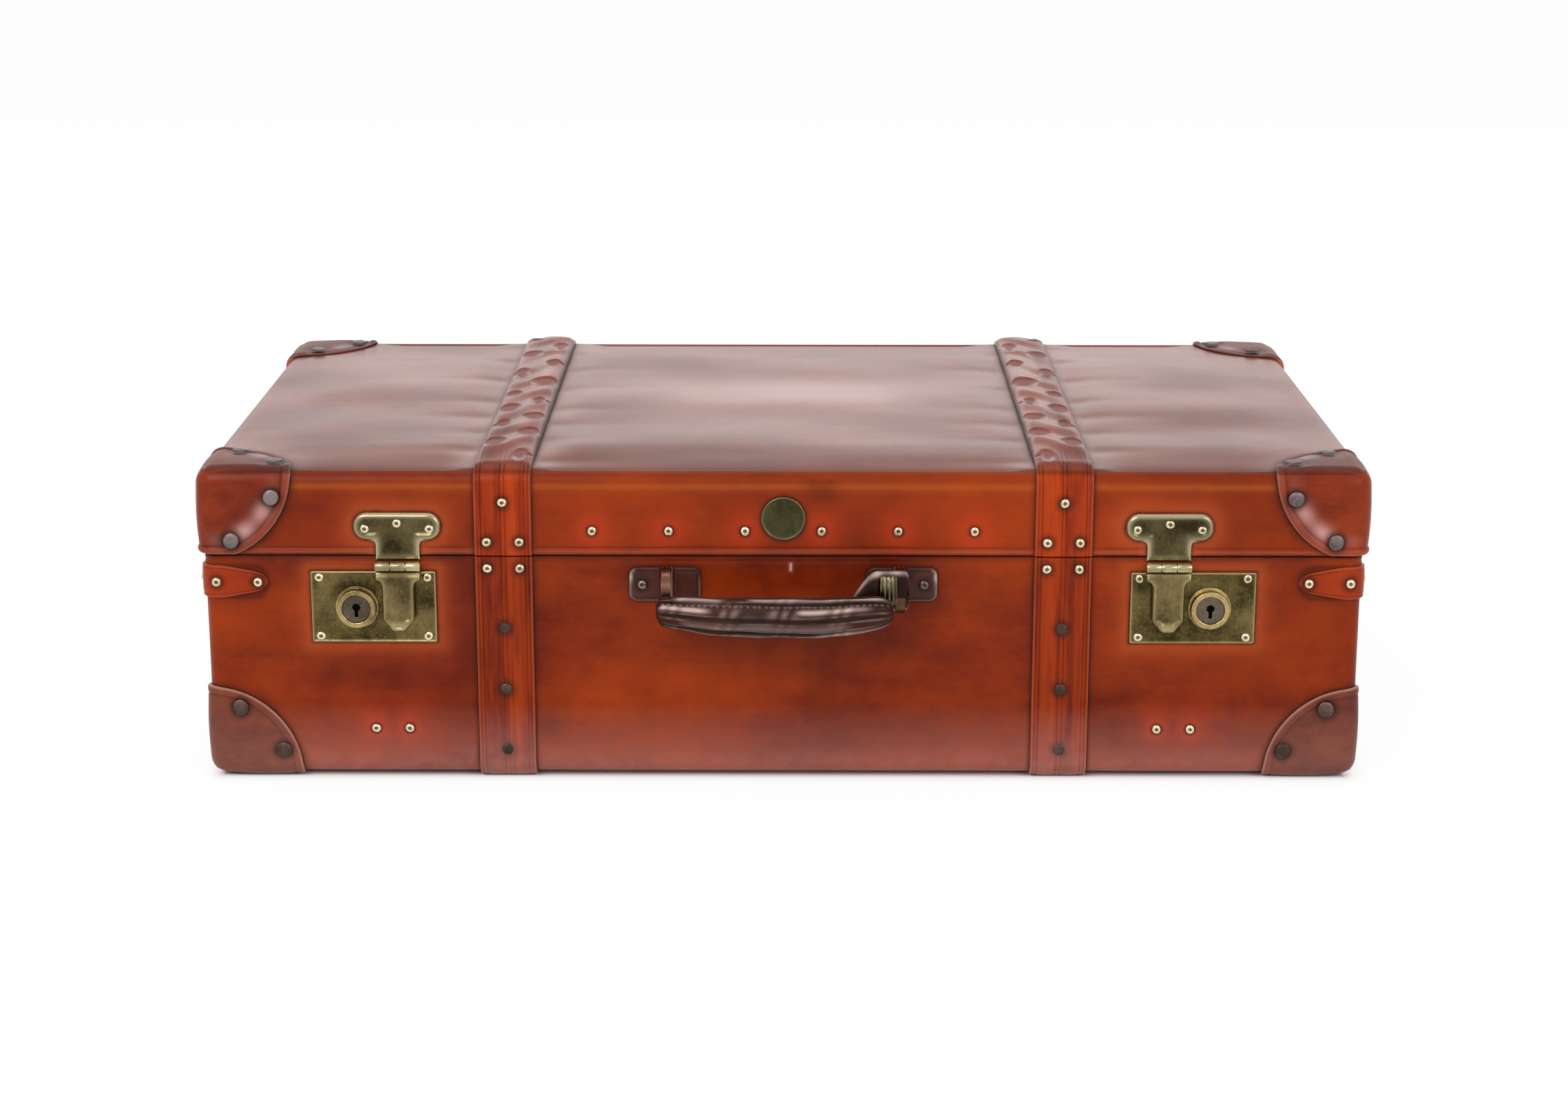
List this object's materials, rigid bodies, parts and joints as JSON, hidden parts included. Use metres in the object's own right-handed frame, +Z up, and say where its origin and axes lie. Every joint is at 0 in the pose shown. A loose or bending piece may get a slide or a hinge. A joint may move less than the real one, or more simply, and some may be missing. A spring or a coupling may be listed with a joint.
{
  "type": "suitcase",
  "caption": "Leather-covered box suitcase lying flat: hinged lid, two studded bands, capped corners, brass locks with hasps, and a swinging leather handle.",
  "frame": {"origin": "on the floor, under the middle of the whole outline", "axes": "+X along the case's width to the right seen from the front, +Y from the front to the hinges, +Z up"},
  "size_m": [0.711, 0.4581, 0.1985],
  "materials": {
    "case_leather": "polished, waxed, with darker stains",
    "band_leather": "polished strap leather with tooled edges",
    "cap_leather": "thick moulded leather, worn",
    "handle_leather": "dark, hand-polished",
    "lining_cloth": "plain drill cloth",
    "board": "pressed board",
    "aged_brass": "tarnished, worn bright on edges",
    "bright_brass": "polished",
    "iron": "dark, oxidised",
    "grey_rivet": "dull tinned"
  },
  "bodies": {
    "base": {"base_board_floor": "board", "base_board_front": "board", "base_board_rear": "board", "base_board_left": "board", "base_board_right": "board", "base_leather": "case_leather", "base_lining": "lining_cloth", "base_lip": "band_leather", "base_band_left": "band_leather", "base_band_right": "band_leather", "base_cap_front_left": "cap_leather", "base_cap_front_right": "cap_leather", "base_cap_rear_left": "cap_leather", "base_cap_rear_right": "cap_leather", "corner_tab_front_left": "band_leather", "corner_tab_front_right": "band_leather", "corner_tab_rear_left": "band_leather", "corner_tab_rear_right": "band_leather", "lock_plate_left": "aged_brass", "lock_plate_right": "aged_brass", "lock_collar_left": "bright_brass", "lock_collar_right": "bright_brass", "lock_case_left": "iron", "lock_case_right": "iron", "lock_rivets": "bright_brass", "base_brass_rivets": "bright_brass", "base_iron_rivets": "iron", "base_cap_rivets": "grey_rivet", "handle_chape_left": "handle_leather", "handle_chape_right": "handle_leather", "chape_rivets": "iron", "hinge_base_leaves": "aged_brass", "hinge_pins": "bright_brass"},
    "lid": {"hinge_lid_leaves": "aged_brass", "lid_board": "board", "lid_leather": "case_leather", "lid_lining": "lining_cloth", "lid_band_left": "band_leather", "lid_band_right": "band_leather", "lid_cap_front_left": "cap_leather", "lid_cap_front_right": "cap_leather", "lid_cap_rear_left": "cap_leather", "lid_cap_rear_right": "cap_leather", "lid_brass_rivets": "bright_brass", "lid_cap_rivets": "grey_rivet", "badge": "aged_brass", "hasp_plate_left": "aged_brass", "hasp_plate_right": "aged_brass", "hasp_rivets": "bright_brass", "hasp_pins": "bright_brass"},
    "handle": {"handle_ring_left": "aged_brass", "handle_ring_right": "aged_brass", "handle_loop_left": "handle_leather", "handle_loop_right": "handle_leather", "handle_grip": "handle_leather"},
    "hasp_left": {"hasp_flap_left": "aged_brass"},
    "button_left": {"lock_button_left": "aged_brass"},
    "bolt_left": {"lock_bolt_left": "iron"},
    "hasp_right": {"hasp_flap_right": "aged_brass"},
    "button_right": {"lock_button_right": "aged_brass"},
    "bolt_right": {"lock_bolt_right": "iron"}
  },
  "joints": [
    {"name": "lid_hinge", "type": "hinge", "parent": "base", "child": "lid", "pos_m": [0, 0.22586, 0.1415], "axis": [-1, 0, 0], "range_deg": [0, 100]},
    {"name": "handle_swing", "type": "hinge", "parent": "base", "child": "handle", "pos_m": [0, -0.19224, 0.124], "axis": [-1, 0, 0], "range_deg": [-60, 75]},
    {"name": "hasp_left_hinge", "type": "hinge", "parent": "lid", "child": "hasp_left", "pos_m": [-0.232, -0.18254, 0.1355], "axis": [-1, 0, 0], "range_deg": [0, 160]},
    {"name": "button_left_press", "type": "slide", "parent": "base", "child": "button_left", "axis": [0, 1, 0], "range_m": [0, 0.0025], "stiffness_N_per_m": 600, "springref_m": -0.002},
    {"name": "bolt_left_slide", "type": "slide", "parent": "base", "child": "bolt_left", "axis": [-1, 0, 0], "range_m": [0, 0.0025]},
    {"name": "hasp_right_hinge", "type": "hinge", "parent": "lid", "child": "hasp_right", "pos_m": [0.232, -0.18254, 0.1355], "axis": [-1, 0, 0], "range_deg": [0, 160]},
    {"name": "button_right_press", "type": "slide", "parent": "base", "child": "button_right", "axis": [0, 1, 0], "range_m": [0, 0.0025], "stiffness_N_per_m": 600, "springref_m": -0.002},
    {"name": "bolt_right_slide", "type": "slide", "parent": "base", "child": "bolt_right", "axis": [1, 0, 0], "range_m": [0, 0.0025]}
  ],
  "couplings": [
    {"joint": "bolt_left_slide", "follows": "button_left_press", "ratio": 1},
    {"joint": "bolt_right_slide", "follows": "button_right_press", "ratio": 1}
  ]
}
